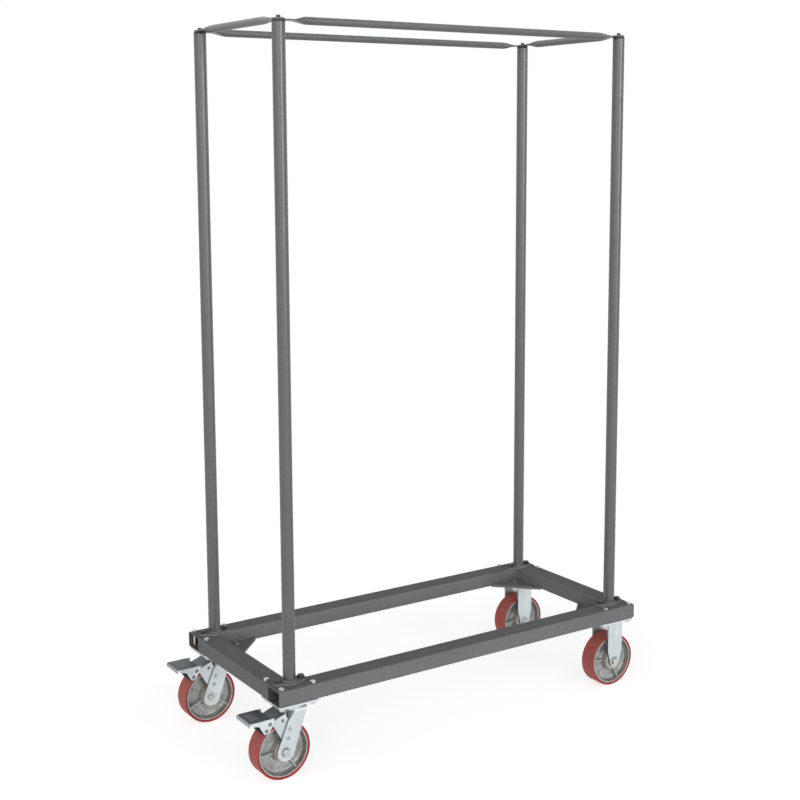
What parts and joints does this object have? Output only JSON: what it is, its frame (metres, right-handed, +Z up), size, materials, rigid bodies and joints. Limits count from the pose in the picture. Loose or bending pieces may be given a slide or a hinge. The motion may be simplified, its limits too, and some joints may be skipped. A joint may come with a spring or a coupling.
{
  "type": "stacking chair trolley",
  "caption": "Rolling trolley for a stack of chairs: hollow-rail base on braked swivel and fixed casters, with corner posts tied together by a bolted top frame.",
  "frame": {"origin": "on the floor under the middle of the whole trolley's box, pedals included", "axes": "+X along the length towards the fixed casters, +Y across the width towards the rear side, +Z up"},
  "size_m": [1.2634, 0.52, 1.867],
  "materials": {
    "grey_coat": "fine-textured dark grey powder coat",
    "zinc": "bright zinc-plated pressed steel",
    "bright_zinc": "zinc-plated fasteners",
    "black_steel": "black oxide steel",
    "cast_core": "grey painted casting, satin",
    "tread": "red polyurethane, satin, dusty on the running face",
    "brake_shoe": "dark hard rubber"
  },
  "bodies": {
    "frame": {"front_side_rail": "grey_coat", "rear_side_rail": "grey_coat", "left_end_rail": "grey_coat", "right_end_rail": "grey_coat", "corner_gussets": "grey_coat", "front_left_post": "grey_coat", "front_right_post": "grey_coat", "rear_left_post": "grey_coat", "rear_right_post": "grey_coat", "post_flanges": "grey_coat", "flange_bolts": "black_steel", "flange_nuts": "zinc", "post_plugs": "black_steel", "front_top_rail": "grey_coat", "rear_top_rail": "grey_coat", "left_top_rail": "grey_coat", "right_top_rail": "grey_coat", "top_screws": "black_steel", "caster_bolts": "bright_zinc", "caster_nuts": "bright_zinc", "fixed_plates": "zinc", "fixed_forks": "zinc", "fixed_axle_bolts": "bright_zinc", "fixed_axle_nuts": "bright_zinc", "fixed_axle_sleeves": "zinc", "swivel_plates": "zinc", "king_pins": "zinc"},
    "front_swivel": {"front_swivel_balls": "zinc", "front_swivel_fork": "zinc", "front_swivel_axle_bolt": "bright_zinc", "front_swivel_axle_nut": "bright_zinc", "front_swivel_axle_sleeve": "zinc", "front_brake_bracket": "zinc", "front_bracket_rivets": "bright_zinc"},
    "rear_swivel": {"rear_swivel_balls": "zinc", "rear_swivel_fork": "zinc", "rear_swivel_axle_bolt": "bright_zinc", "rear_swivel_axle_nut": "bright_zinc", "rear_swivel_axle_sleeve": "zinc", "rear_brake_bracket": "zinc", "rear_bracket_rivets": "bright_zinc"},
    "front_swivel_wheel": {"front_swivel_core": "cast_core", "front_swivel_tread": "tread", "front_swivel_bearings": "zinc"},
    "rear_swivel_wheel": {"rear_swivel_core": "cast_core", "rear_swivel_tread": "tread", "rear_swivel_bearings": "zinc"},
    "front_fixed_wheel": {"front_fixed_core": "cast_core", "front_fixed_tread": "tread", "front_fixed_bearings": "zinc"},
    "rear_fixed_wheel": {"rear_fixed_core": "cast_core", "rear_fixed_tread": "tread", "rear_fixed_bearings": "zinc"},
    "front_pedal": {"front_brake_pedal": "zinc", "front_brake_pins": "bright_zinc", "front_brake_shoe": "brake_shoe"},
    "rear_pedal": {"rear_brake_pedal": "zinc", "rear_brake_pins": "bright_zinc", "rear_brake_shoe": "brake_shoe"}
  },
  "joints": [
    {"name": "front_swivel_turn", "type": "hinge", "parent": "frame", "child": "front_swivel", "pos_m": [-0.4993, -0.209, 0.19], "axis": [0, 0, 1], "continuous": true},
    {"name": "front_swivel_wheel_spin", "type": "hinge", "parent": "front_swivel", "child": "front_swivel_wheel", "pos_m": [-0.5313, -0.209, 0.075], "axis": [0, 1, 0], "continuous": true},
    {"name": "front_pedal_press", "type": "hinge", "parent": "front_swivel", "child": "front_pedal", "pos_m": [-0.5747, -0.209, 0.15838], "axis": [0, -1, 0], "range_deg": [0, 9]},
    {"name": "front_fixed_wheel_spin", "type": "hinge", "parent": "frame", "child": "front_fixed_wheel", "pos_m": [0.5567, -0.209, 0.075], "axis": [0, 1, 0], "continuous": true},
    {"name": "rear_swivel_turn", "type": "hinge", "parent": "frame", "child": "rear_swivel", "pos_m": [-0.4993, 0.209, 0.19], "axis": [0, 0, 1], "continuous": true},
    {"name": "rear_swivel_wheel_spin", "type": "hinge", "parent": "rear_swivel", "child": "rear_swivel_wheel", "pos_m": [-0.5313, 0.209, 0.075], "axis": [0, 1, 0], "continuous": true},
    {"name": "rear_pedal_press", "type": "hinge", "parent": "rear_swivel", "child": "rear_pedal", "pos_m": [-0.5747, 0.209, 0.15838], "axis": [0, -1, 0], "range_deg": [0, 9]},
    {"name": "rear_fixed_wheel_spin", "type": "hinge", "parent": "frame", "child": "rear_fixed_wheel", "pos_m": [0.5567, 0.209, 0.075], "axis": [0, 1, 0], "continuous": true}
  ]
}
